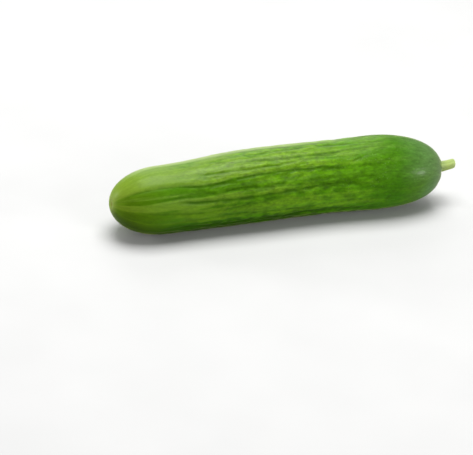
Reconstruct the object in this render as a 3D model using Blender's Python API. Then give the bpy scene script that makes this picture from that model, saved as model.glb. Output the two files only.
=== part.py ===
# A small thin-skinned cucumber, as picked, lying on its side with its cut stalk left on.
#
# Metres, +Z up. X runs along the fruit from the blossom tip to the stalk, -Y is the side
# that faces a viewer, and the origin is under the middle of the object's box, on the
# surface that the fruit lies on.
#
# A place on the skin is given by two numbers: along, from 0 at the blossom tip to 1 at the
# stalk, and around, the angle from the top of the section towards the viewer.

import math

import bmesh
import bpy
from mathutils import Matrix, Vector

# The fruit's driving sizes.
FRUIT_LENGTH = 0.166
# The body widens evenly from the blossom tip to the stalk, before the ends are rounded
# off, apart from a slight belly and a slighter waist.
BLOSSOM_RADIUS = 0.0155
STALK_END_RADIUS = 0.0191
SWELLS = [  # along, reach along, height in metres
    (0.39, 0.14, 0.00080),
    (0.70, 0.09, -0.00035),
]
BLOSSOM_CAP = (0.024, 2.1)  # length of the rounded end, and its fullness: 2 is an ellipse
STALK_CAP = (0.045, 2.5)

# The fruit's bends. The middle stands off to the far side, and the tip turns up.
SIDE_BEND = 0.0039
RISE_AND_FALL = 0.0040
LEAN = 0.0026
FLAT_SPOT_DEPTH = 0.00045  # how much of the round belly the flat spot takes off

# The section is a little three-sided, as the three seed chambers make it.
CHAMBERS = 3
CHAMBER_SWELL = 0.012  # share of the radius
CHAMBER_TURN = math.radians(20)

# Furrows run along the skin between low ribs.
FURROWS = [  # around in degrees, depth in metres
    (21, 0.00042),
    (47, 0.00070),
    (79, 0.00058),
    (109, 0.00054),
    (138, 0.00042),
    (170, 0.00036),
    (199, 0.00048),
    (228, 0.00060),
    (260, 0.00044),
    (291, 0.00062),
    (320, 0.00046),
    (350, 0.00036),
]
FURROW_HALF_WIDTH = math.radians(5.4)
FURROW_SWAY = math.radians(2.4)  # how far a furrow wanders to either side
FURROW_SWAYS = 2.3  # wanderings over the fruit's length
FURROW_BREAKS = 6.5  # times that a furrow grows shallow and deep again
FURROW_BREAK_SHARE = 0.35  # of its depth
FURROW_RISE = (0.01, 0.16)  # the furrows begin between these, along the fruit
FURROW_FADE = (0.62, 0.93)  # and fade between these
FURROW_LEFT = 0.1  # share of their depth that is left at the stalk

# Slow unevenness of the skin: waves over the length, waves round it, and where they start.
LUMP_HEIGHT = 0.00016
LUMPS = [(4.9, 2, 0.0), (3.0, -3, 1.7)]

# The blossom scar, a shallow pit in the tip, with the radii of its rings.
SCAR_DEPTH = 0.00035
SCAR_RADIUS = 0.0014
SCAR_RIM_RADIUS = 0.0030
SCAR_RINGS = [0.0008, SCAR_RADIUS, 0.0018, 0.0024, SCAR_RIM_RADIUS]

# The stalk's seat, a hollow in the other end.
SEAT_DEPTH = 0.0015
SEAT_RADIUS = 0.0037
SEAT_RIM_RADIUS = 0.0064
SEAT_RINGS = 5
SEAT_RISE = 0.0015  # the seat is this far above the middle of the end
SEAT_RISE_REACH = (0.19, 0.38)  # and draws the rings of these shares of the radius with it
SEAT_GAP = 0.0003  # between the seat's floor and the stalk's foot

# The stalk's driving sizes. Its foot stands in the seat.
STALK_LENGTH = 0.0088
STALK_RADIUS = 0.00230
STALK_FOOT_FLARE = 0.00045  # how much wider the foot is
STALK_FOOT_REACH = 0.0040  # how far up the shaft the flare goes
STALK_EDGE = 0.00030  # bevel at the foot's edge
STALK_LEAN = 0.20  # its middle line goes up by this share of its height
STALK_TURN = math.radians(13)  # the cut end turns up this far
STALK_RIBS = 5
STALK_RIB_HEIGHT = 0.055  # share of the radius
CUT_EDGE = 0.00130  # rounding at the cut's edge
CUT_EDGE_RINGS = 4
CUT_HOLLOW = 0.00025  # the pith has dried back by this
CUT_RINGS = [(0.28, 0.5), (0.14, 1.0)]  # shares of the shaft's radius and of the hollow

# How finely each piece is faceted.
FRUIT_SIDES = 92
FRUIT_BODY_RINGS = 44
STALK_SIDES = 40
STALK_SHAFT_RINGS = 12
STALK_RING_CROWDING = 1.4  # above 1, the rings stand closer towards the foot
SHARP_ANGLE = math.radians(40)


def smooth_step(low, high, value):
    share = min(1.0, max(0.0, (value - low) / (high - low)))
    return share * share * (3 - 2 * share)


def body_radius(along):
    radius = BLOSSOM_RADIUS + (STALK_END_RADIUS - BLOSSOM_RADIUS) * along
    for place, reach, height in SWELLS:
        radius += height * math.exp(-(((along - place) / reach) ** 2))
    return radius


def cap_share(distance, cap):
    """Share of the body's radius that a rounded end has at a distance from its tip."""
    length, fullness = cap
    left = max(0.0, 1.0 - distance / length)
    return (1.0 - left**fullness) ** (1.0 / fullness)


def cap_distance(share, cap):
    """Distance from the tip at which a rounded end has that share of the body's radius."""
    length, fullness = cap
    return length * (1.0 - (1.0 - share**fullness) ** (1.0 / fullness))


def section_radius(along):
    blossom = cap_share(along * FRUIT_LENGTH, BLOSSOM_CAP)
    stalk = cap_share((1.0 - along) * FRUIT_LENGTH, STALK_CAP)
    return body_radius(along) * blossom * stalk


def spine(along):
    """Centre of the fruit's section. The belly's lowest line stays near the surface."""
    t = 2.0 * along - 1.0
    return Vector(
        (
            0.5 * FRUIT_LENGTH * t,
            SIDE_BEND * (1.0 - t * t),
            body_radius(along) + RISE_AND_FALL * (t - t**3) - LEAN * t,
        )
    )


def section_axes(along):
    """(forward, up, towards the viewer) of the section there."""
    step = 0.0005
    forward = (spine(along + step) - spine(along - step)).normalized()
    away = Vector((-forward.y, forward.x, 0.0)).normalized()
    return forward, forward.cross(away), -away


def furrow_depth(along, around):
    """How deep the furrows are there, all of them together."""
    shown = smooth_step(*FURROW_RISE, along)
    shown *= 1.0 - (1.0 - FURROW_LEFT) * smooth_step(*FURROW_FADE, along)
    total = 0.0
    for number, (degrees, depth) in enumerate(FURROWS):
        # Each furrow wanders and breaks in a rhythm that starts at a place of its own.
        sway = FURROW_SWAY * math.sin(math.tau * FURROW_SWAYS * along + 2.1 * number)
        off = math.remainder(around - math.radians(degrees) - sway, math.tau)
        breaks = math.sin(math.tau * FURROW_BREAKS * along + 1.3 * number * number)
        deep = depth * (1.0 + FURROW_BREAK_SHARE * breaks)
        total += deep * math.exp(-((off / FURROW_HALF_WIDTH) ** 2))
    return total * shown


def lump_height(along, around):
    shown = smooth_step(0.0, 0.1, along) * (1.0 - smooth_step(0.9, 1.0, along))
    total = 0.0
    for waves_along, waves_round, start in LUMPS:
        total += math.sin(math.tau * waves_along * along + waves_round * around + start)
    return LUMP_HEIGHT * shown * total / len(LUMPS)


def fruit_rings():
    """(distance from the blossom tip, radius) of each ring, from the scar to the seat."""
    rings = [(SCAR_DEPTH, 0.0)]
    for radius in SCAR_RINGS:
        dome = cap_distance(radius / BLOSSOM_RADIUS, BLOSSOM_CAP)
        rim = smooth_step(SCAR_RADIUS, SCAR_RIM_RADIUS, radius)
        rings.append((SCAR_DEPTH + (dome - SCAR_DEPTH) * rim, radius))

    # The body's rings crowd towards both ends, as the rings of a sphere do.
    scar_rim = cap_distance(SCAR_RIM_RADIUS / BLOSSOM_RADIUS, BLOSSOM_CAP) / FRUIT_LENGTH
    seat_rim = cap_distance(SEAT_RIM_RADIUS / STALK_END_RADIUS, STALK_CAP) / FRUIT_LENGTH
    start = math.acos(1.0 - 2.0 * scar_rim)
    end = math.acos(2.0 * seat_rim - 1.0)
    for i in range(1, FRUIT_BODY_RINGS):
        turn = start + (end - start) * i / FRUIT_BODY_RINGS
        along = 0.5 * (1.0 - math.cos(turn))
        rings.append((along * FRUIT_LENGTH, section_radius(along)))

    for i in range(SEAT_RINGS, -1, -1):
        radius = SEAT_RADIUS + (SEAT_RIM_RADIUS - SEAT_RADIUS) * i / SEAT_RINGS
        dome = cap_distance(radius / STALK_END_RADIUS, STALK_CAP)
        rim = smooth_step(SEAT_RADIUS, SEAT_RIM_RADIUS, radius)
        rings.append((FRUIT_LENGTH - SEAT_DEPTH - (dome - SEAT_DEPTH) * rim, radius))
    rings.append((FRUIT_LENGTH - SEAT_DEPTH, 0.5 * SEAT_RADIUS))
    rings.append((FRUIT_LENGTH - SEAT_DEPTH, 0.0))
    return rings


def seat_rise(along, radius):
    """How far up a ring of the stalk end is drawn."""
    if along < 0.5:
        return 0.0
    return SEAT_RISE * (1.0 - smooth_step(*SEAT_RISE_REACH, radius / STALK_END_RADIUS))


def fruit_point(ring, around):
    distance, radius = ring
    along = distance / FRUIT_LENGTH
    _, up, viewer = section_axes(along)
    # The scar and the seat stay round and smooth.
    rim_radius = SEAT_RIM_RADIUS if along > 0.5 else SCAR_RIM_RADIUS
    clear = smooth_step(rim_radius, 2.0 * rim_radius, radius)
    swell = radius * CHAMBER_SWELL * math.cos(CHAMBERS * (around - CHAMBER_TURN))
    out = radius + clear * (swell + lump_height(along, around) - furrow_depth(along, around))
    centre = spine(along) + seat_rise(along, radius) * up
    point = centre + out * (math.cos(around) * up + math.sin(around) * viewer)
    # The belly is flat where the fruit has lain.
    point.z = max(0.0, point.z - FLAT_SPOT_DEPTH)
    return point


def stalk_rings():
    """(height above the foot, radius) of each ring, foot first."""
    foot_radius = STALK_RADIUS + STALK_FOOT_FLARE
    rings = [(0.0, 0.0), (0.0, 0.5 * foot_radius), (0.0, foot_radius - STALK_EDGE)]
    for i in range(STALK_SHAFT_RINGS + 1):
        climb = (STALK_LENGTH - STALK_EDGE - CUT_EDGE) * (i / STALK_SHAFT_RINGS) ** STALK_RING_CROWDING
        height = STALK_EDGE + climb
        flare = STALK_FOOT_FLARE * math.exp(-((climb / STALK_FOOT_REACH) ** 1.5))
        rings.append((height, STALK_RADIUS + flare))
    for i in range(1, CUT_EDGE_RINGS + 1):
        bend = 0.5 * math.pi * i / CUT_EDGE_RINGS
        height = STALK_LENGTH - CUT_EDGE * (1.0 - math.sin(bend))
        rings.append((height, STALK_RADIUS - CUT_EDGE * (1.0 - math.cos(bend))))
    for radius_share, hollow_share in CUT_RINGS:
        rings.append((STALK_LENGTH - hollow_share * CUT_HOLLOW, radius_share * STALK_RADIUS))
    rings.append((STALK_LENGTH - CUT_HOLLOW, 0.0))
    return rings


def stalk_point(ring, around):
    """A point of the stalk, whose foot's middle is the origin and whose shaft starts along +Z."""
    height, radius = ring
    turned = STALK_TURN * height / STALK_LENGTH
    ribbed = radius * (1.0 + STALK_RIB_HEIGHT * math.cos(STALK_RIBS * around))
    across = ribbed * math.cos(around)
    return Vector(
        (
            (STALK_LEAN + 0.5 * turned) * height + across * math.cos(turned),
            ribbed * math.sin(around),
            height - across * math.sin(turned),
        )
    )


def material(name, colour, roughness):
    made = bpy.data.materials.new(name)
    made.use_nodes = True
    shader = made.node_tree.nodes["Principled BSDF"]
    shader.inputs["Base Color"].default_value = (*colour, 1.0)
    shader.inputs["Roughness"].default_value = roughness
    shader.inputs["Metallic"].default_value = 0.0
    made.diffuse_color = (*colour, 1.0)
    return made


def ringed_body(name, rings, point_at, sides, skin, collection):
    """A closed body from a sphere: its rings take the given rings in turn, poles included."""
    mesh = bmesh.new()
    bands = len(rings) - 1
    bmesh.ops.create_uvsphere(mesh, u_segments=sides, v_segments=bands, radius=1.0)
    for vertex in mesh.verts:
        below = math.acos(max(-1.0, min(1.0, -vertex.co.z)))
        around = math.atan2(vertex.co.y, vertex.co.x)
        vertex.co = point_at(rings[round(below * bands / math.pi)], around)
    data = bpy.data.meshes.new(name)
    mesh.to_mesh(data)
    mesh.free()
    data.shade_smooth()
    data.set_sharp_from_angle(angle=SHARP_ANGLE)
    data.materials.append(skin)
    body = bpy.data.objects.new(name, data)
    collection.objects.link(body)
    return body


def seat_frame():
    """Where the stalk's foot stands: on the seat's floor, with its shaft pointing outwards."""
    along = 1.0 - SEAT_DEPTH / FRUIT_LENGTH
    forward, up, viewer = section_axes(along)
    place = spine(along) + SEAT_GAP * forward + SEAT_RISE * up
    place.z -= FLAT_SPOT_DEPTH
    turn = Matrix((up, viewer, forward)).transposed().to_4x4()
    return Matrix.Translation(place) @ turn


def box_middle(objects):
    """Middle of the objects' common box in X and Y, on the surface below them."""
    corners = [item.matrix_world @ Vector(corner) for item in objects for corner in item.bound_box]
    low = [min(corner[i] for corner in corners) for i in range(2)]
    high = [max(corner[i] for corner in corners) for i in range(2)]
    return Vector(((low[0] + high[0]) / 2, (low[1] + high[1]) / 2, 0.0))


def main():
    for item in list(bpy.data.objects):
        bpy.data.objects.remove(item)
    collection = bpy.data.collections.new("cucumber")
    bpy.context.scene.collection.children.link(collection)

    fruit_skin = material("fruit_skin", (0.10, 0.24, 0.02), 0.42)
    stalk_skin = material("stalk_skin", (0.40, 0.52, 0.12), 0.6)
    fruit = ringed_body("fruit", fruit_rings(), fruit_point, FRUIT_SIDES, fruit_skin, collection)
    stalk = ringed_body("stalk", stalk_rings(), stalk_point, STALK_SIDES, stalk_skin, collection)
    stalk.matrix_world = seat_frame()

    whole = bpy.data.objects.new("cucumber", None)
    collection.objects.link(whole)
    for item in (fruit, stalk):
        item.parent = whole
    bpy.context.view_layer.update()
    whole.location = -box_middle((fruit, stalk))


main()
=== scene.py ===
import math

import bpy
from mathutils import Matrix, Quaternion, Vector


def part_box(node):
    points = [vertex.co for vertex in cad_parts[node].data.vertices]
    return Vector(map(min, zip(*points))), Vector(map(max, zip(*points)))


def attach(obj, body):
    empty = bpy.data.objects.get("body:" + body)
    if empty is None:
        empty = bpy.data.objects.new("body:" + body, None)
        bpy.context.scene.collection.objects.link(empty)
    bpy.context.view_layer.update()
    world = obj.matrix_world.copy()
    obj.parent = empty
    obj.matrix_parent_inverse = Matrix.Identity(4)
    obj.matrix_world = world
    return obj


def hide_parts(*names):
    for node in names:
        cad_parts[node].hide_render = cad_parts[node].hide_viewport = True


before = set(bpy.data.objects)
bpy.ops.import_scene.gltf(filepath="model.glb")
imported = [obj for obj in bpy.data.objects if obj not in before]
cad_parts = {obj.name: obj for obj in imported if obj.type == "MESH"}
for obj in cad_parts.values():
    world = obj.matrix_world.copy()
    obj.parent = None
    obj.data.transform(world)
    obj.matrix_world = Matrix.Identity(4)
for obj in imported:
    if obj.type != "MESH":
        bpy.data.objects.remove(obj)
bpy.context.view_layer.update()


# One wire of a node tree, with arithmetic that adds Math nodes, or Vector Math nodes where
# a vector takes part. It works in materials and in Geometry Nodes alike.
class Wire:
    def __init__(self, tree, socket=None):
        self.tree = tree
        self.socket = socket

    # Adds any node: its type, its settings, then the values or links of its sockets.
    def node(self, kind, settings=None, sockets=None, out=0):
        made = self.tree.nodes.new(kind)
        for name, value in (settings or {}).items():
            if name == "stops":
                setStops(made.color_ramp, value)
            else:
                setattr(made, name, value)
        for name, value in (sockets or {}).items():
            socket = made.inputs[name]
            if isinstance(value, Wire):
                self.tree.links.new(value.socket, socket)
            else:
                socket.default_value = (*value, 1.0) if socket.type == "RGBA" else value
        return Wire(self.tree, made.outputs[out] if len(made.outputs) else None)

    def out(self, name):
        return Wire(self.tree, self.socket.node.outputs[name])

    def parts(self):
        split = self.node("ShaderNodeSeparateXYZ", None, {0: self})
        return split, split.out("Y"), split.out("Z")

    def maths(self, operation, *values):
        if any(isinstance(v, Wire) and v.socket.type == "VECTOR" for v in values):
            values = [v if isinstance(v, (Wire, tuple)) else (v, v, v) for v in values]
            kind = "ShaderNodeVectorMath"
        else:
            kind = "ShaderNodeMath"
        return self.node(kind, {"operation": operation}, dict(enumerate(values)))

    def __add__(self, other):
        return self.maths("ADD", self, other)

    def __radd__(self, other):
        return self.maths("ADD", other, self)

    def __sub__(self, other):
        return self.maths("SUBTRACT", self, other)

    def __rsub__(self, other):
        return self.maths("SUBTRACT", other, self)

    def __mul__(self, other):
        return self.maths("MULTIPLY", self, other)

    def __rmul__(self, other):
        return self.maths("MULTIPLY", other, self)

    def __truediv__(self, other):
        return self.maths("DIVIDE", self, other)

    def __rtruediv__(self, other):
        return self.maths("DIVIDE", other, self)

    def __pow__(self, other):
        return self.maths("POWER", self, other)

    def __neg__(self):
        return self.maths("MULTIPLY", self, -1.0)

    def sin(self):
        return self.maths("SINE", self)

    def cos(self):
        return self.maths("COSINE", self)

    def arccos(self):
        return self.maths("ARCCOSINE", self)

    # The angle of a point whose height is this wire.
    def arctan2(self, across):
        return self.maths("ARCTAN2", self, across)

    def exp(self):
        return self.maths("EXPONENT", self)

    def atLeast(self, low):
        return self.maths("MAXIMUM", self, low)

    def atMost(self, high):
        return self.maths("MINIMUM", self, high)

    # 0 at the first value and 1 at the second, smooth between and level beyond.
    def step(self, start, end):
        sockets = {"Value": self, "From Min": start, "From Max": end}
        return self.node("ShaderNodeMapRange", {"interpolation_type": "SMOOTHSTEP"}, sockets)

    # The value that lies this wire's share of the way from one value to another.
    def between(self, low, high):
        return low + (high - low) * self

    # A hill of height 1 around a value.
    def hill(self, middle, reach):
        off = (self - middle) / reach
        return (-(off * off)).exp()

    # Noise from 0 to 1 at this place, stretched so that a patch has these sizes.
    def noise(self, patch, detail=2.0, roughness=0.5, distortion=0.0, seed=0.0):
        shares = tuple(1.0 / size for size in patch)
        place = self * shares + (seed, 1.7 * seed, 2.3 * seed)
        sockets = {"Vector": place, "Scale": 1.0, "Detail": detail, "Roughness": roughness}
        sockets["Distortion"] = distortion
        return self.node("ShaderNodeTexNoise", {"noise_dimensions": "3D"}, sockets)

    # A mix of two colours by this wire's share.
    def mixed(self, first, second):
        return self.node("ShaderNodeMix", {"data_type": "RGBA"}, {0: self, 6: first, 7: second}, 2)

    # Another colour, times this one.
    def mixedBy(self, colour):
        settings = {"data_type": "RGBA", "blend_type": "MULTIPLY"}
        return self.node("ShaderNodeMix", settings, {0: 1.0, 6: colour, 7: self}, 2)

    def ramp(self, stops):
        return self.node("ShaderNodeValToRGB", {"stops": stops}, {"Fac": self})


def setStops(ramp, stops):
    while len(ramp.elements) < len(stops):
        ramp.elements.new(0.5)
    for element, (place, colour) in zip(ramp.elements, stops):
        element.position = place
        element.color = (*colour, 1.0)


def vector(x, y, z):
    wire = next(part for part in (x, y, z) if isinstance(part, Wire))
    return wire.node("ShaderNodeCombineXYZ", None, {"X": x, "Y": y, "Z": z})


def crossed(a, b):
    return a.node("ShaderNodeVectorMath", {"operation": "CROSS_PRODUCT"}, {0: a, 1: b})


def normalized(a):
    return a.node("ShaderNodeVectorMath", {"operation": "NORMALIZE"}, {0: a})


# Grows a piece from a sphere. The shape function takes the sphere's position and the wires
# of the sizes, and gives the new position and the attributes that the material reads.
def growFromSphere(name, sizes, shape, material):
    group = bpy.data.node_groups.new(name, "GeometryNodeTree")
    group.interface.new_socket("Geometry", in_out="INPUT", socket_type="NodeSocketGeometry")
    group.interface.new_socket("Geometry", in_out="OUTPUT", socket_type="NodeSocketGeometry")
    identifiers = {}
    for label, value in sizes.items():
        kind = "NodeSocketInt" if isinstance(value, int) else "NodeSocketFloat"
        socket = group.interface.new_socket(label, in_out="INPUT", socket_type=kind)
        identifiers[label] = socket.identifier

    tree = Wire(group)
    inputs = tree.node("NodeGroupInput")
    size = {label: inputs.out(label) for label in sizes}
    counts = {"Segments": size["segments"], "Rings": size["rings"], "Radius": 1.0}
    geometry = tree.node("GeometryNodeMeshUVSphere", None, counts, "Mesh")
    position, marks = shape(tree.node("GeometryNodeInputPosition"), size)
    for label, value in marks.items():
        kind = "FLOAT_VECTOR" if value.socket.type == "VECTOR" else "FLOAT"
        settings = {"data_type": kind, "domain": "POINT"}
        sockets = {"Geometry": geometry, "Name": label, "Value": value}
        geometry = tree.node("GeometryNodeStoreNamedAttribute", settings, sockets)
    sockets = {"Geometry": geometry, "Position": position}
    geometry = tree.node("GeometryNodeSetPosition", None, sockets)
    geometry = tree.node("GeometryNodeRealizeInstances", None, {"Geometry": geometry})
    sockets = {"Geometry": geometry, "Material": material}
    geometry = tree.node("GeometryNodeSetMaterial", None, sockets)
    tree.node("NodeGroupOutput", None, {"Geometry": geometry})

    piece = bpy.data.objects.new(name, bpy.data.meshes.new(name))
    bpy.context.scene.collection.objects.link(piece)
    modifier = piece.modifiers.new("shape", "NODES")
    modifier.node_group = group
    for label, value in sizes.items():
        modifier[identifiers[label]] = value
    depsgraph = bpy.context.evaluated_depsgraph_get()
    mesh = bpy.data.meshes.new_from_object(
        piece.evaluated_get(depsgraph), preserve_all_data_layers=True, depsgraph=depsgraph
    )
    piece.modifiers.remove(modifier)
    piece.data = mesh
    mesh.shade_smooth()
    print(f"{name}: {len(mesh.polygons)} faces")
    return piece


# A material with its Principled shader's plain numbers set, and a wire to start from.
def newMaterial(name, plain):
    material = bpy.data.materials.new(name)
    material.use_nodes = True
    shader = material.node_tree.nodes["Principled BSDF"]
    for label, value in plain.items():
        shader.inputs[label].default_value = value
    return material, Wire(material.node_tree), shader


def feed(shader, label, wire):
    wire.tree.links.new(wire.socket, shader.inputs[label])


def attribute(tree, name, out):
    return tree.node("ShaderNodeAttribute", {"attribute_name": name}, None, out)


# Number attributes of a piece, in the order of their names.
def numbers(tree, *names):
    return [attribute(tree, name, "Fac") for name in names]


# The fruit. Lengths are in metres. A place along it runs from 0 at the blossom tip to 1 at
# the stalk, and a place around it is an angle from the top towards the viewer.
fruit = {
    "sizes": {
        "length": 0.166,
        "blossomRadius": 0.0155,  # the body's radius before the ends are rounded off
        "stalkEndRadius": 0.0191,
        "blossomCapLength": 0.024,
        "blossomCapFullness": 2.1,
        "stalkCapLength": 0.045,
        "stalkCapFullness": 2.5,
        "sideBend": 0.0039,
        "riseAndFall": 0.0040,
        "lean": 0.0026,
        "flatSpotDepth": 0.00045,
        "chamberSwell": 0.012,  # a share of the radius, for the three seed chambers
        "chamberTurn": math.radians(20),
        "scarDepth": 0.00035,
        "scarRadius": 0.0014,
        "scarRimRadius": 0.0030,
        "seatDepth": 0.0015,
        "seatRadius": 0.0037,
        "seatRimRadius": 0.0064,
        "seatRise": 0.0015,
        "skinRadius": 0.0175,  # of the round bar that the patterns are laid on
        "furrowDepth": 1.0,  # times the depths in the list
        "furrowSway": math.radians(2.4),
        "furrowWander": math.radians(2.2),
        "furrowGather": math.radians(5.5),  # how far the furrows near the tip run to the top
        "gatherAround": 0.8,  # the middle of the side where they do, in radians
        "creaseDepth": 0.00033,
        "lineDepth": 0.00010,
        "lowLinesAround": 1.7,  # the side where fine lines start at the tip, in radians
        "pillowLength": 0.0112,
        "pillowWidth": 0.0046,
        "pillowBend": 0.0042,  # how far the creases are bent out of line
        "waveHeight": 0.00030,
        "grainHeight": 0.00006,
        "puckerDepth": 0.00022,
        "puckers": 10.0,
        "puckerRadius": 0.0062,
        "puckerReach": 0.0026,
        "segments": 280,
        "rings": 350,
    },
    "swells": [  # along, reach along, height
        (0.39, 0.14, 0.00080),
        (0.70, 0.09, -0.00035),
    ],
    "furrows": [  # around and half width in degrees, depth in millimetres, from and to along
        (21, 3.8, 0.46, 0.34, 0.90),
        (32, 2.8, 0.36, 0.22, 0.60),
        (47, 3.4, 0.52, -0.05, 0.67),
        (66, 2.8, 0.30, 0.06, 0.60),
        (77, 3.6, 0.64, 0.14, 0.76),
        (91, 3.2, 0.36, 0.06, 0.50),
        (107, 4.2, 0.34, 0.08, 0.62),
        (124, 3.6, 0.48, 0.12, 0.80),
        (138, 4.6, 0.44, 0.08, 0.74),
        (170, 4.8, 0.38, 0.05, 0.66),
        (185, 2.8, 0.18, 0.20, 0.55),
        (199, 4.8, 0.48, 0.03, 0.70),
        (214, 2.6, 0.20, 0.28, 0.60),
        (228, 4.8, 0.60, 0.10, 0.76),
        (243, 2.8, 0.24, 0.22, 0.64),
        (260, 4.6, 0.44, 0.06, 0.72),
        (276, 2.8, 0.24, 0.30, 0.58),
        (291, 4.8, 0.60, 0.04, 0.74),
        (306, 2.8, 0.22, 0.26, 0.62),
        (320, 4.6, 0.44, 0.12, 0.80),
        (335, 2.6, 0.18, 0.30, 0.58),
        (350, 4.6, 0.34, 0.24, 0.86),
        (6, 2.8, 0.30, 0.40, 0.80),
    ],
    "furrowForm": {
        "sways": 2.3,  # along the fruit
        "wide": (1.15, 0.62, 0.60),  # times the half width, and shares of the depth and shade
        "sharp": (0.40, 0.18, 0.50),
        "breaks": 13.0,  # about as many places where a furrow can break
        "broken": (0.62, 1.12),  # how strong it is there, and elsewhere
        "fullShade": 0.6,  # the depth in millimetres that is shaded fully
    },
    "ribs": [  # from and to in degrees around, how pale, and where the paleness is, along
        (-46, -8, 0.70, -0.30, 0.62),
        (-14, 22, 0.80, -0.30, 0.78),
        (16, 47, 0.95, -0.30, 0.60),
        (22, 31, 0.50, 0.62, 0.78),
        (33, 46, 0.50, 0.60, 0.76),
        (47, 62, 0.54, 0.34, 0.62),
        (69, 85, 0.84, -0.30, 0.26),
        (64, 79, 0.58, 0.26, 0.60),
        (78, 91, 0.26, -0.30, 0.72),
        (88, 112, 0.88, 0.15, 0.70),
        (108, 124, 0.42, 0.48, 0.72),
        (116, 152, 0.55, 0.80, 0.90),
        (138, 170, 0.70, 0.20, 0.60),
        (170, 199, 0.90, -0.30, 0.72),
        (199, 228, 0.45, -0.30, 0.60),
        (228, 260, 0.10, -0.30, 0.50),
        (260, 291, 0.55, -0.30, 0.65),
        (291, 320, 0.20, -0.30, 0.60),
    ],
    "spans": {  # where a pattern grows from the tip, where it fades, and what share is left
        "furrows": ((0.00, 0.06), (0.95, 0.60), 0.12),
        "creases": ((0.08, 0.32), (0.90, 0.62), 0.10),
        "lines": ((0.10, 0.34), (1.00, 0.72), 0.25),
        "waves": ((0.02, 0.24), (0.98, 0.62), 0.30),
        "mottle": ((0.10, 0.42), (0.95, 0.65), 0.55),
        "bloom": ((0.02, 0.12), (0.90, 0.45), 0.00),
    },
    "starts": {  # where along the fruit an effect starts, and where it is full
        "grain": (0.00, 0.05),
        "lowLines": (0.01, 0.12),
        "under": (0.72, 0.52),
        "belly": (0.24, 0.04),
        "blotches": (0.00, 0.25),
        "paleLines": (0.50, 0.10),
        "furrowShade": (0.00, 0.30),
        "stalkEndPaintedSheen": (0.87, 0.98),
        "specks": (0.30, 0.75),
        "stalkEndCoat": (0.82, 0.98),
        "tipCoat": (-0.05, 0.14),
    },
    "bands": {  # the middle in degrees, and the cosines off it where a band starts and is full
        # a whitish bloom with a painted sheen along the limb turned away from the viewer
        "bloom": (-30, 0.89, 0.99),
        "lit": (0, -0.25, 0.60),
        "under": (148, 0.72, 0.96),
        "belly": (132, 0.45, 0.96),
    },
    "patches": {  # the lengths of a pattern's patches along the skin and across it
        "slowWander": (0.030, 0.020, 0.020),
        "quickWander": (0.009, 0.006, 0.006),
        "creaseBreaks": (0.0060, 0.0036, 0.0036),
        "lines": (0.040, 0.0042, 0.0042),
        "waves": (0.0120, 0.0036, 0.0036),
        "grain": (0.0024, 0.0012, 0.0012),
        "blotches": (0.018, 0.005, 0.005),
        "mottle": (0.0050, 0.0022, 0.0022),
        "fineMottle": (0.0017, 0.0010, 0.0010),
        "streaks": (0.070, 0.0026, 0.0026),
        "speckGroups": (0.010, 0.006, 0.006),
        "cork": (0.0006, 0.0006, 0.0006),
        "fineBump": (0.0010, 0.0005, 0.0005),
    },
    "tones": {  # how strongly each mark changes the colour
        "blotches": (0.2, 1.7),  # at the tip, and away from it
        "streaks": 0.7,
        "waves": 1.5,
        "paleCreases": -0.40,
        "paleLines": 0.22,
        "furrows": (0.60, 0.88),  # at the tip, and away from it
        "creases": 0.74,
        "lines": 0.18,
        "darkest": 0.90,
        "mottle": 1.3,
        "under": 0.36,
        "bloom": (0.35, 0.75),  # where the mottling is dark, and where it is pale
        "specks": 0.16,
        "halo": 0.6,
        "collar": 0.6,
    },
    "finish": {
        "roughness": (0.38, 0.54),
        "corkRoughness": 0.3,  # more than the skin's
        "coat": (0.02, 0.21),
        "ribCoat": 0.7,
        "furrowDulling": 0.8,
        "bumpStrength": 0.35,
        "bumpHeight": 0.00014,
        "poreScale": 760.0,
        "poreHeight": 0.25,  # a share of the bump
    },
    "shader": {
        "IOR": 1.40,
        "Specular IOR Level": 0.12,
        "Specular Tint": (0.80, 1.0, 0.30, 1.0),
        "Coat Roughness": 0.26,
        "Coat IOR": 1.45,
        "Sheen Weight": 0.45,  # the bloom, which shows at the limbs
        "Sheen Roughness": 0.18,
        "Sheen Tint": (0.85, 0.95, 0.24, 1.0),
    },
    "colours": {
        # Both greens turn bluish grey towards the stalk end: the waxy bloom there, with a painted
        # sheen.
        "deepGreen": [
            (0.00, (0.112, 0.205, 0.008)),
            (0.03, (0.060, 0.128, 0.002)),
            (0.16, (0.042, 0.130, 0.001)),
            (0.48, (0.070, 0.188, 0.001)),
            (0.66, (0.064, 0.188, 0.001)),
            (0.84, (0.033, 0.116, 0.002)),
            (0.94, (0.062, 0.132, 0.034)),
            (1.00, (0.078, 0.132, 0.042)),
        ],
        "paleGreen": [
            (0.00, (0.142, 0.224, 0.014)),
            (0.10, (0.105, 0.190, 0.017)),
            (0.35, (0.102, 0.195, 0.011)),
            (0.54, (0.112, 0.222, 0.008)),
            (0.66, (0.100, 0.214, 0.006)),
            (0.82, (0.080, 0.186, 0.014)),
            (0.90, (0.086, 0.172, 0.034)),
            (0.95, (0.086, 0.160, 0.046)),
            (1.00, (0.085, 0.142, 0.046)),
        ],
        "cork": [(0.3, (0.16, 0.19, 0.026)), (0.7, (0.22, 0.27, 0.05))],
        "olive": (0.070, 0.092, 0.004),
        "paleLines": (0.18, 0.30, 0.04),
        # the dark green of the painted shade in the furrows, creases and fine lines
        "furrows": (0.026, 0.082, 0.000),
        "bloom": (0.33, 0.40, 0.19),
        "specks": (0.22, 0.32, 0.12),
        "halo": (0.25, 0.33, 0.055),
        "collar": (0.13, 0.20, 0.045),
    },
}


def bodyRadius(size, along):
    radius = size["blossomRadius"] + (size["stalkEndRadius"] - size["blossomRadius"]) * along
    for place, reach, height in fruit["swells"]:
        radius = radius + height * along.hill(place, reach)
    return radius


def bodySlope(size, along):
    slope = size["stalkEndRadius"] - size["blossomRadius"]
    for place, reach, height in fruit["swells"]:
        slope = slope - height * along.hill(place, reach) * (along - place) * (2.0 / reach**2)
    return slope


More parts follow.
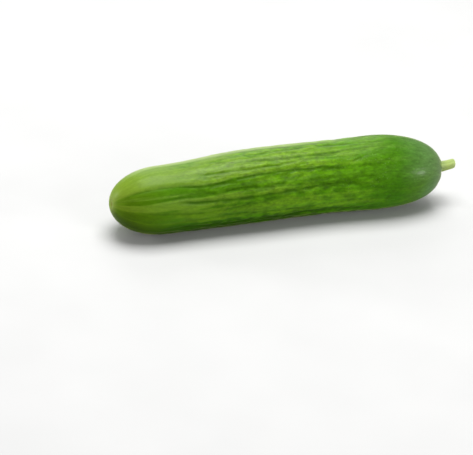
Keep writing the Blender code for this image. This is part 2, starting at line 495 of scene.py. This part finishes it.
def capShare(distance, length, fullness):
    left = (1.0 - distance / length).atLeast(0.0)
    return (1.0 - left**fullness) ** (1.0 / fullness)


# A pattern's strength along the fruit.
def strength(along, name):
    grow, fade, left = fruit["spans"][name]
    return along.step(*grow) * along.step(*fade).between(left, 1.0)


def band(bent, name):
    degrees, start, full = fruit["bands"][name]
    return (bent - math.radians(degrees)).cos().step(start, full)


# All furrows together: their depth in metres, and their painted shade, where 1 is full.
def furrowDepth(size, along, bent):
    form = fruit["furrowForm"]
    wideWidth, wideDepth, wideShade = form["wide"]
    sharpWidth, sharpDepth, sharpShade = form["sharp"]
    depth = 0.0
    shade = 0.0
    for number, (degrees, halfWidth, millimetres, start, end) in enumerate(fruit["furrows"]):
        sway = size["furrowSway"] * (along * (math.tau * form["sways"]) + 2.1 * number).sin()
        closeness = (bent - sway - math.radians(degrees)).cos() - 1.0
        wide = (closeness * (2.0 / math.radians(wideWidth * halfWidth) ** 2)).exp()
        sharp = (closeness * (2.0 / math.radians(sharpWidth * halfWidth) ** 2)).exp()
        place = vector(along * form["breaks"], 5.3 * number + 2.0, 0.0)
        whole = place.noise((1.0, 1.0, 1.0), 1.0).step(0.32, 0.60)
        there = along.step(start - 0.03, start + 0.10) * along.step(end + 0.07, end - 0.10)
        there = there * whole.between(*form["broken"])
        groove = wide * wideDepth + sharp * sharpDepth
        depth = depth + groove * there * (0.001 * millimetres)
        dark = wide * wideShade + sharp * sharpShade
        shade = shade + dark * there * (millimetres / form["fullShade"])
    return depth, shade


# How pale the skin is, from the ribs that are pale, with frayed edges.
def paleShare(along, bent, fray):
    pale = 0.0
    softEdge = 0.035
    for start, end, paleness, first, last in fruit["ribs"]:
        middle, half = math.radians(0.5 * (start + end)), math.radians(0.5 * (end - start))
        off = (bent - middle).cos().arccos()
        there = along.step(first - 0.10, first + 0.10) * along.step(last + 0.16, last - 0.10)
        pale = pale + paleness * there * (off + fray).step(half + softEdge, half - softEdge)
    return pale


# Irregular long cells: 0 on the creases between them and 1 on their pillows.
def pillowCells(size, skin):
    bend = skin.node("ShaderNodeTexNoise", None, {"Vector": skin * 160.0, "Scale": 1.0}, "Color")
    x, y, z = (skin + (bend - 0.5) * size["pillowBend"]).parts()
    width = size["pillowWidth"]
    place = vector(x / size["pillowLength"], y / width, z / width)
    sockets = {"Vector": place, "Scale": 1.0, "Randomness": 0.95}
    cells = skin.node("ShaderNodeTexVoronoi", {"feature": "DISTANCE_TO_EDGE"}, sockets, "Distance")
    return cells.step(0.0, 0.36)


# The fine relief: broken creases round long pillows, mostly on the dark ribs, long fine
# lines, low waves and a grain. It gives the height and the marks that the colours follow.
def fineRelief(size, along, skin, bent, pale):
    patches, starts = fruit["patches"], fruit["starts"]
    broken = skin.noise(patches["creaseBreaks"], 1.0, seed=13.0).step(0.32, 0.52)
    wrinkled = strength(along, "creases") * (1.0 - 0.72 * pale.atMost(1.0))
    creases = (1.0 - pillowCells(size, skin)) * broken * wrinkled

    grow, fade, left = fruit["spans"]["lines"]
    lowSide = (bent - size["lowLinesAround"]).cos().step(0.5, 0.9)
    lowSide = lowSide * along.step(*starts["lowLines"])
    lines = skin.noise(patches["lines"], 2.0, 0.5, 0.3, seed=15.0).hill(0.5, 0.030)
    lines = lines * along.step(*fade).between(left, 1.0) * along.step(*grow).atLeast(lowSide)

    waves = (skin.noise(patches["waves"], seed=7.0) - 0.5) * strength(along, "waves")
    grain = skin.noise(patches["grain"], 2.0, 0.6, seed=17.0) - 0.5
    height = size["waveHeight"] * waves - size["creaseDepth"] * creases
    height = height - size["lineDepth"] * lines
    height = height + size["grainHeight"] * grain * along.step(*starts["grain"])
    return height, {"crease": creases, "line": lines, "wave": waves}


# The plain round form: each ring's radius and its place along the fruit. The scar in the tip
# and the stalk's seat move their rings inwards.
def roundForm(size, even):
    length = size["length"]
    blossomEnd = capShare(even * length, size["blossomCapLength"], size["blossomCapFullness"])
    stalkEnd = capShare((1.0 - even) * length, size["stalkCapLength"], size["stalkCapFullness"])
    plain = bodyRadius(size, even) * blossomEnd * stalkEnd
    nearStalk = even.step(0.49, 0.51)
    scarRim = plain.step(size["scarRadius"], size["scarRimRadius"])
    seatRim = plain.step(size["seatRadius"], size["seatRimRadius"])
    fromTip = scarRim.between(size["scarDepth"], even * length)
    fromStalk = seatRim.between(size["seatDepth"], (1.0 - even) * length)
    along = nearStalk.between(fromTip, length - fromStalk) / length
    return plain, along, nearStalk


# The point at a distance out from the curved spine, at an angle around it.
def aroundSpine(size, plain, along, nearStalk, out, around):
    t = 2.0 * along - 1.0
    rise = size["riseAndFall"]
    centre = vector(
        t * size["length"] * 0.5,
        size["sideBend"] * (1.0 - t * t),
        bodyRadius(size, along) + rise * (t - t * t * t) - size["lean"] * t,
    )
    forward = normalized(vector(
        size["length"] * 0.5,
        size["sideBend"] * t * -2.0,
        bodySlope(size, along) * 0.5 + rise * (1.0 - 3.0 * t * t) - size["lean"],
    ))
    fx, fy = forward.parts()[:2]
    away = normalized(vector(-fy, fx, 0.0))
    up = crossed(forward, away)
    # The seat stands a little above the spine.
    raised = plain.step(size["stalkEndRadius"] * 0.38, size["stalkEndRadius"] * 0.19)
    centre = centre + up * (size["seatRise"] * raised * nearStalk)
    return centre + up * (out * around.cos()) - away * (out * around.sin())


def fruitShape(position, size):
    x, y, z = position.parts()
    around = y.arctan2(x)
    plain, along, nearStalk = roundForm(size, 0.5 + 0.5 * z)

    # Straightened skin: as if the fruit were a round bar, so that noise has no seam.
    barRadius = size["skinRadius"]
    skin = vector(along * size["length"], around.cos() * barRadius, around.sin() * barRadius)
    slowNoise = skin.noise(fruit["patches"]["slowWander"], 1.0) - 0.5
    quickNoise = skin.noise(fruit["patches"]["quickWander"], 1.0, seed=3.0) - 0.5
    bent = around + size["furrowWander"] * (2.4 * slowNoise + 1.3 * quickNoise)
    # Near the tip the furrows on the viewer's side run closer to the top.
    gathered = along.hill(0.165, 0.070) * (around - size["gatherAround"]).cos().step(0.5, 1.0)
    bent = bent + size["furrowGather"] * gathered

    ribbed = strength(along, "furrows")
    depth, shade = furrowDepth(size, along, bent)
    pale = paleShare(along, bent, slowNoise * 0.16 + quickNoise * 0.10)
    relief, reliefMarks = fineRelief(size, along, skin, bent, pale)
    relief = relief - depth * ribbed * size["furrowDepth"]

    # The scar and the seat stay round; the skin round the seat is puckered.
    rimRadius = nearStalk.between(size["scarRimRadius"], size["seatRimRadius"])
    clear = plain.step(rimRadius, rimRadius * 2.0)
    swell = plain * size["chamberSwell"] * ((around - size["chamberTurn"]) * 3.0).cos()
    folds = (around * size["puckers"] + 5.0 * slowNoise).cos()
    folds = folds * plain.hill(size["puckerRadius"], size["puckerReach"]) * nearStalk
    out = plain + clear * (swell + relief) - size["puckerDepth"] * folds

    # The belly is flat where the fruit has lain.
    px, py, pz = aroundSpine(size, plain, along, nearStalk, out, around).parts()
    lying = vector(px, py, (pz - size["flatSpotDepth"]).atLeast(0.0))

    starts = fruit["starts"]
    marks = {
        "along": along,
        "skin": skin,
        "furrow": (shade * ribbed).atMost(1.0),
        "pale": pale,
        **reliefMarks,
        "bloom": band(bent, "bloom") * strength(along, "bloom"),
        "lit": band(bent, "lit"),
        "under": band(bent, "under") * along.step(*starts["under"]),
        "belly": band(bent, "belly") * along.step(*starts["belly"]),
        "out": plain,
    }
    return lying, marks


# The green of the dark and the pale ribs, with the olive tip, and painted shade in the furrows,
# creases and fine lines.
def bandedGreen(tree, along, skin, mottle):
    colours, tones, starts = fruit["colours"], fruit["tones"], fruit["starts"]
    patches = fruit["patches"]
    furrow, pale, crease, line = numbers(tree, "furrow", "pale", "crease", "line")
    wave, belly, under = numbers(tree, "wave", "belly", "under")
    blotches = skin.noise(patches["blotches"], 3.0, 0.6, seed=21.0) - 0.5
    streaks = skin.noise(patches["streaks"], 2.0, 0.6, seed=27.0)
    calm = strength(along, "mottle")

    paleness = pale + blotches * along.step(*starts["blotches"]).between(*tones["blotches"])
    paleness = paleness + (streaks - 0.5) * tones["streaks"] + wave * tones["waves"]
    # Creases are made less pale: painted shade.
    paleness = paleness + crease * tones["paleCreases"]
    deepGreen = along.ramp(colours["deepGreen"])
    paleGreen = along.ramp(colours["paleGreen"])
    colour = paleness.step(0.0, 0.95).mixed(deepGreen, paleGreen)

    # A dull olive patch low on the side near the tip.
    dull = belly * blotches.between(0.35, 1.0).atLeast(0.0).atMost(0.7)
    colour = dull.mixed(colour, colours["olive"])

    # Fine pale lines run back from the tip, and fade before the middle.
    lines = streaks.step(0.56, 0.70) * along.step(*starts["paleLines"])
    lines = lines * along.step(*starts["grain"])
    colour = (lines * tones["paleLines"]).mixed(colour, colours["paleLines"])

    # Painted shade: the furrows, the creases and the fine lines are darkened by their depth.
    darker = furrow * along.step(*starts["furrowShade"]).between(*tones["furrows"])
    darker = darker + crease * tones["creases"] + line * tones["lines"] * calm.between(0.4, 1.0)
    colour = darker.atMost(tones["darkest"]).mixed(colour, colours["furrows"])

    fineMottle = skin.noise(patches["fineMottle"], 2.0, 0.6, seed=25.0) - 0.5
    shades = 1.0 + ((mottle - 0.5) * tones["mottle"] + fineMottle) * calm.between(0.4, 1.0)
    # Painted shade on the underside, darker towards the floor.
    shades = shades * (1.0 - under * tones["under"])
    return vector(shades, shades, shades).mixedBy(colour)


# A painted reflection keeps more red and blue on the top, so the green is purer below; a whitish
# bloom with a painted sheen on the limb that is turned away from the viewer, a painted sheen at
# the stalk end, and small pale specks in groups.
def paintedSheenBloomAndSpecks(tree, colour, along, skin, mottle, pores):
    colours, tones, starts = fruit["colours"], fruit["tones"], fruit["starts"]
    lit, bloom = numbers(tree, "lit", "bloom")
    # A painted sheen at the stalk end keeps its red and blue.
    ends = along.step(*starts["stalkEndPaintedSheen"])
    # A painted reflection of the overhead light: the top keeps more red and blue than the side
    # below.
    red = lit.between(0.86, 1.0).atLeast(ends)
    blue = lit.between(0.15, 1.0).atLeast(ends)
    colour = vector(red, 1.0, blue).mixedBy(colour)
    # A whitish bloom with a painted sheen along the limb turned away from the viewer.
    colour = (bloom * mottle.between(*tones["bloom"])).mixed(colour, colours["bloom"])
    groups = skin.noise(fruit["patches"]["speckGroups"], seed=29.0).step(0.45, 0.60)
    specks = pores.step(0.30, 0.12) * along.step(*starts["specks"]) * groups
    return (specks * tones["specks"]).mixed(colour, colours["specks"])


# The scar's cork with the pale skin round it, and the pale collar round the stalk.
def scarAndCollar(tree, colour, along, skin, cork, atTip):
    colours, tones = fruit["colours"], fruit["tones"]
    ringRadius = attribute(tree, "out", "Fac")
    corkGrain = skin.noise(fruit["patches"]["cork"], 3.0, 0.6, seed=31.0)
    halo = ringRadius.step(0.0060, 0.0014) * atTip
    colour = (halo * tones["halo"]).mixed(colour, colours["halo"])
    colour = cork.mixed(colour, corkGrain.ramp(colours["cork"]))
    collar = ringRadius.step(0.0062, 0.0040) * along.step(0.49, 0.5)
    return (collar * tones["collar"]).mixed(colour, colours["collar"])


def fruitSkin():
    material, tree, shader = newMaterial("fruitSkin", fruit["shader"])
    finish, starts = fruit["finish"], fruit["starts"]
    skin = attribute(tree, "skin", "Vector")
    along, furrow, pale, ringRadius = numbers(tree, "along", "furrow", "pale", "out")
    mottle = skin.noise(fruit["patches"]["mottle"], 3.0, 0.65, seed=23.0)
    sockets = {"Vector": skin * finish["poreScale"], "Scale": 1.0, "Randomness": 1.0}
    pores = tree.node("ShaderNodeTexVoronoi", {"feature": "F1"}, sockets, "Distance")
    atTip = along.step(0.5, 0.49)
    cork = ringRadius.step(0.0013, 0.0008) * atTip

    colour = bandedGreen(tree, along, skin, mottle)
    colour = paintedSheenBloomAndSpecks(tree, colour, along, skin, mottle, pores)
    colour = scarAndCollar(tree, colour, along, skin, cork, atTip)
    feed(shader, "Base Color", colour)

    roughness = mottle.between(*finish["roughness"]) + cork * finish["corkRoughness"]
    feed(shader, "Roughness", roughness)
    waxy = (pale * finish["ribCoat"] + along.step(*starts["stalkEndCoat"])).atMost(1.0)
    coat = (waxy * along.step(*starts["tipCoat"])).between(*finish["coat"])
    coat = coat * (1.0 - cork) * (1.0 - furrow * finish["furrowDulling"])
    feed(shader, "Coat Weight", coat)
    fineNoise = skin.noise(fruit["patches"]["fineBump"], 3.0, 0.6, seed=37.0)
    height = fineNoise + pores.step(0.0, 0.35) * finish["poreHeight"]
    sockets = {"Strength": finish["bumpStrength"], "Distance": finish["bumpHeight"]}
    sockets["Height"] = height
    feed(shader, "Normal", tree.node("ShaderNodeBump", None, sockets))
    return material


# The cut stalk, in metres.
stalk = {
    "sizes": {
        "length": 0.0090,
        "radius": 0.00230,
        "footFlare": 0.00050,
        "footReach": 0.0042,
        "edge": 0.00135,
        "lean": 0.20,
        "turn": math.radians(13),
        "ribCount": 5.0,
        "ribHeight": 0.050,  # a share of the radius
        "lineHeight": 0.035,
        "cutHollow": 0.00025,
        "tornHeight": 0.00030,
        "segments": 128,
        "rings": 120,
    },
    "sink": 0.0002,  # how far the foot is below the seat's floor
    "ends": (0.08, 0.60, 0.78),  # of the foot, the shaft and the edge, in shares of the rings
    "patches": {
        "lines": (0.0004, 0.0004, 0.0060),
        "torn": (0.0007, 0.0007, 0.0007),
        "colourLines": (0.0003, 0.0003, 0.0050),
        "crumbs": (0.0003, 0.0003, 0.0003),
    },
    "colours": {
        # from the foot up; the darker green at the foot is painted shade
        "skin": [
            (0.00, (0.100, 0.160, 0.040)),
            (0.22, (0.165, 0.225, 0.060)),
            (0.55, (0.240, 0.312, 0.065)),
            (0.80, (0.262, 0.340, 0.085)),
            (1.00, (0.250, 0.320, 0.105)),
        ],
        "flesh": [  # from the cut's middle out
            (0.00, (0.300, 0.400, 0.110)),
            (0.35, (0.420, 0.520, 0.160)),
            (0.60, (0.360, 0.480, 0.120)),
            (0.85, (0.550, 0.640, 0.250)),
            (1.00, (0.300, 0.420, 0.100)),
        ],
        "lines": (0.42, 0.50, 0.20),
        "paintedGrooveShade": (0.20, 0.31, 0.06),
        "vessels": (0.140, 0.250, 0.040),
        "crumbs": (0.62, 0.70, 0.36),
    },
}


def stalkShape(position, size):
    x, y, z = position.parts()
    around = y.arctan2(x)
    share = (-z).atLeast(-1.0).atMost(1.0).arccos() / math.pi

    # From the foot's middle out, up the shaft, and over the edge to the cut's middle.
    footEnd, shaftEnd, edgeEnd = stalk["ends"]
    foot = (share / footEnd).atMost(1.0)
    climb = ((share - footEnd) / (shaftEnd - footEnd)).atLeast(0.0).atMost(1.0)
    bend = ((share - shaftEnd) / (edgeEnd - shaftEnd)).atLeast(0.0).atMost(1.0) * (math.pi / 2)
    cutShare = 1.0 - ((share - edgeEnd) / (1.0 - edgeEnd)).atLeast(0.0)
    height = climb * (size["length"] - size["edge"]) + bend.sin() * size["edge"]
    flare = size["footFlare"] * (-((height / size["footReach"]) ** 1.5)).exp()
    rounding = size["edge"] * (1.0 - bend.cos())
    radius = (size["radius"] + flare - rounding) * foot * cutShare

    skin = vector(around.cos() * size["radius"], around.sin() * size["radius"], height)
    turns = around * size["ribCount"]
    ribs = turns.cos() - 0.35 * (turns * 2.0).cos()
    lines = skin.noise(stalk["patches"]["lines"], 2.0, 0.6, seed=2.0) - 0.5
    ribbed = radius * (1.0 + size["ribHeight"] * ribs + size["lineHeight"] * lines)

    onCut = bend.step(0.55, 1.15)
    tissue = vector(ribbed * around.cos(), ribbed * around.sin(), 0.0)
    torn = tissue.noise(stalk["patches"]["torn"], 3.0, 0.6, seed=5.0) - 0.5
    dished = size["cutHollow"] * cutShare.step(0.95, 0.35) * onCut
    top = height - dished + torn * size["tornHeight"] * onCut

    turned = size["turn"] * height / size["length"]
    across = ribbed * around.cos()
    point = vector(
        (turned * 0.5 + size["lean"]) * height + across * turned.cos(),
        ribbed * around.sin(),
        top - across * turned.sin(),
    )
    up = height / size["length"]
    return point, {"up": up, "skin": skin, "rib": ribs, "cut": onCut, "tissue": tissue}


def stalkSkin():
    material, tree, shader = newMaterial("stalkSkin", {"IOR": 1.42, "Coat Weight": 0.0})
    colours, patches = stalk["colours"], stalk["patches"]
    up, rib, cut = numbers(tree, "up", "rib", "cut")
    skin = attribute(tree, "skin", "Vector")
    tissue = attribute(tree, "tissue", "Vector")

    lines = skin.noise(patches["colourLines"], 3.0, 0.6, seed=41.0)
    # The stalk's green, darker at the foot with painted shade.
    colour = up.ramp(colours["skin"])
    colour = (lines.step(0.45, 0.75) * 0.3).mixed(colour, colours["lines"])
    # Painted shade in the grooves between the ribs.
    colour = (rib.step(0.1, -0.9) * 0.2).mixed(colour, colours["paintedGrooveShade"])

    # The cut: a pale rind, a ring of darker vessels and a moist pith.
    tx, ty = tissue.parts()[:2]
    across = (tx * tx + ty * ty) ** 0.5 / stalk["sizes"]["radius"]
    vessels = across.hill(0.66, 0.13) * (ty.arctan2(tx) * 10.0).cos().step(0.1, 0.9)
    crumbs = tissue.noise(patches["crumbs"], 3.0, 0.6, seed=43.0)
    flesh = (vessels * 0.75).mixed(across.ramp(colours["flesh"]), colours["vessels"])
    flesh = (crumbs.step(0.35, 0.75) * 0.3).mixed(flesh, colours["crumbs"])
    feed(shader, "Base Color", cut.mixed(colour, flesh))
    feed(shader, "Roughness", cut.between(0.62, 0.40) + (crumbs - 0.5) * 0.2)
    sockets = {"Strength": 0.5, "Distance": 0.00010, "Height": lines + crumbs * cut}
    feed(shader, "Normal", tree.node("ShaderNodeBump", None, sockets))
    return material


# The place and turn of the seat's floor, from the same spine as the fruit's. The swells
# don't reach that far.
def seatFrame(size):
    along = 1.0 - size["seatDepth"] / size["length"]
    t = 2.0 * along - 1.0
    slope = size["stalkEndRadius"] - size["blossomRadius"]
    height = size["blossomRadius"] + slope * along
    centre = Vector((
        0.5 * size["length"] * t,
        size["sideBend"] * (1.0 - t * t),
        height + size["riseAndFall"] * (t - t**3) - size["lean"] * t - size["flatSpotDepth"],
    ))
    rise = 0.5 * slope + size["riseAndFall"] * (1.0 - 3.0 * t * t) - size["lean"]
    forward = Vector((0.5 * size["length"], -2.0 * size["sideBend"] * t, rise)).normalized()
    away = Vector((-forward.y, forward.x, 0.0)).normalized()
    up = forward.cross(away)
    turn = Matrix((up, -away, forward)).transposed().to_4x4()
    place = centre + size["seatRise"] * up - stalk["sink"] * forward
    return Matrix.Translation(place) @ turn


def meshBox(piece):
    points = [vertex.co for vertex in piece.data.vertices]
    low = Vector(min(p[i] for p in points) for i in range(3))
    high = Vector(max(p[i] for p in points) for i in range(3))
    return low, high


def keep(piece, node):
    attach(piece, "root")
    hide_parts(node)


fruitPiece = growFromSphere("cucumberFruit", fruit["sizes"], fruitShape, fruitSkin())
stalkPiece = growFromSphere("cucumberStalk", stalk["sizes"], stalkShape, stalkSkin())
stalkPiece.data.transform(seatFrame(fruit["sizes"]))

# Both pieces move together to where the frame's fruit is.
low, high = meshBox(fruitPiece)
frameLow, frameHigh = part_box("fruit")
shift = 0.5 * (frameLow + frameHigh) - 0.5 * (low + high)
shift.z = 0.0
for piece in (fruitPiece, stalkPiece):
    piece.data.transform(Matrix.Translation(shift))
    piece.data.update()
keep(fruitPiece, "fruit")
keep(stalkPiece, "stalk")
print("pieces placed, moved in millimetres by", [round(1000 * v, 3) for v in shift])


paper = {
    "half": 4.0,  # from the middle to a side, in metres
    "patch": (0.05, 0.05, 0.05),
    "darker": (0.44, 0.44, 0.437),
    "lighter": (0.48, 0.48, 0.477),
}


def floorMaterial():
    plain = {"Roughness": 0.9, "Specular IOR Level": 0.1}
    material, tree, shader = newMaterial("floorPaper", plain)
    place = tree.node("ShaderNodeTexCoord", None, None, "Object")
    grain = place.noise(paper["patch"])
    feed(shader, "Base Color", grain.mixed(paper["darker"], paper["lighter"]))
    return material


def addFloor():
    half = paper["half"]
    corners = [(-half, -half, 0.0), (half, -half, 0.0), (half, half, 0.0), (-half, half, 0.0)]
    mesh = bpy.data.meshes.new("floor")
    mesh.from_pydata(corners, [], [(0, 1, 2, 3)])
    mesh.materials.append(floorMaterial())
    floor = bpy.data.objects.new("floor", mesh)
    bpy.context.scene.collection.objects.link(floor)
    return floor


floor = addFloor()


# Soft boxes: where each stands, how wide and high it is, and its power in watts.
softBoxes = {
    "keyBox": {"place": (0.02, 0.10, 1.00), "size": (0.70, 0.70), "power": 17.5},
    "backBox": {"place": (0.20, 1.15, 0.75), "size": (0.80, 0.80), "power": 6.0},
    "frontBox": {"place": (0.45, -1.10, 0.60), "size": (0.50, 0.50), "power": 4.2},
    "rimBox": {"place": (-0.98, 0.70, 0.25), "size": (0.30, 0.30), "power": 6.5},
    "sideBox": {"place": (0.82, -0.74, 0.14), "size": (0.16, 0.05), "power": 5.0},
}
studio = {"colour": (1.0, 1.0, 1.0, 1.0), "strength": 0.30}


def addSoftBox(name, box):
    light = bpy.data.lights.new(name, "AREA")
    light.shape = "RECTANGLE"
    light.size, light.size_y = box["size"]
    light.energy = box["power"]
    lamp = bpy.data.objects.new(name, light)
    bpy.context.scene.collection.objects.link(lamp)
    lamp.visible_camera = False
    lamp.location = box["place"]
    lamp.rotation_euler = Vector(box["place"]).to_track_quat("Z", "Y").to_euler()


def addStudio():
    world = bpy.data.worlds.new("studio")
    world.use_nodes = True
    background = world.node_tree.nodes["Background"]
    background.inputs["Color"].default_value = studio["colour"]
    background.inputs["Strength"].default_value = studio["strength"]
    bpy.context.scene.world = world
    bpy.context.scene.view_settings.view_transform = "Standard"
    bpy.context.scene.view_settings.look = "None"


for name, box in softBoxes.items():
    addSoftBox(name, box)
addStudio()
print("floor and lights in place")

# The camera stands where the photograph was taken from. The aim is beside and below the
# fruit's middle, by lengths in the view's own plane.
view = {
    "azimuth": math.radians(-21.786),
    "elevation": math.radians(28.0),
    "roll": math.radians(3.644),
    "distance": 0.9,
    "lens": 143.88,  # and the sensor's width, in millimetres
    "sensorWidth": 36.0,
    "clipStart": 0.01,
    "aimLeft": 0.01769,
    "aimBelow": 0.02328,
}


def addCamera():
    a, e = view["azimuth"], view["elevation"]
    back = Vector((math.sin(a) * math.cos(e), -math.cos(a) * math.cos(e), math.sin(e)))
    right = Vector((math.cos(a), math.sin(a), 0.0))
    up = back.cross(right)
    middle = 0.5 * (frameLow + frameHigh)
    place = middle + view["distance"] * back
    aim = middle - view["aimLeft"] * right - view["aimBelow"] * up
    data = bpy.data.cameras.new("camera")
    data.lens = view["lens"]
    data.sensor_width = view["sensorWidth"]
    data.clip_start = view["clipStart"]
    camera = bpy.data.objects.new("camera", data)
    bpy.context.scene.collection.objects.link(camera)
    camera.location = place
    turn = (place - aim).to_track_quat("Z", "Y") @ Quaternion((0.0, 0.0, 1.0), view["roll"])
    camera.rotation_euler = turn.to_euler()
    bpy.context.scene.camera = camera


addCamera()
print("camera in place")
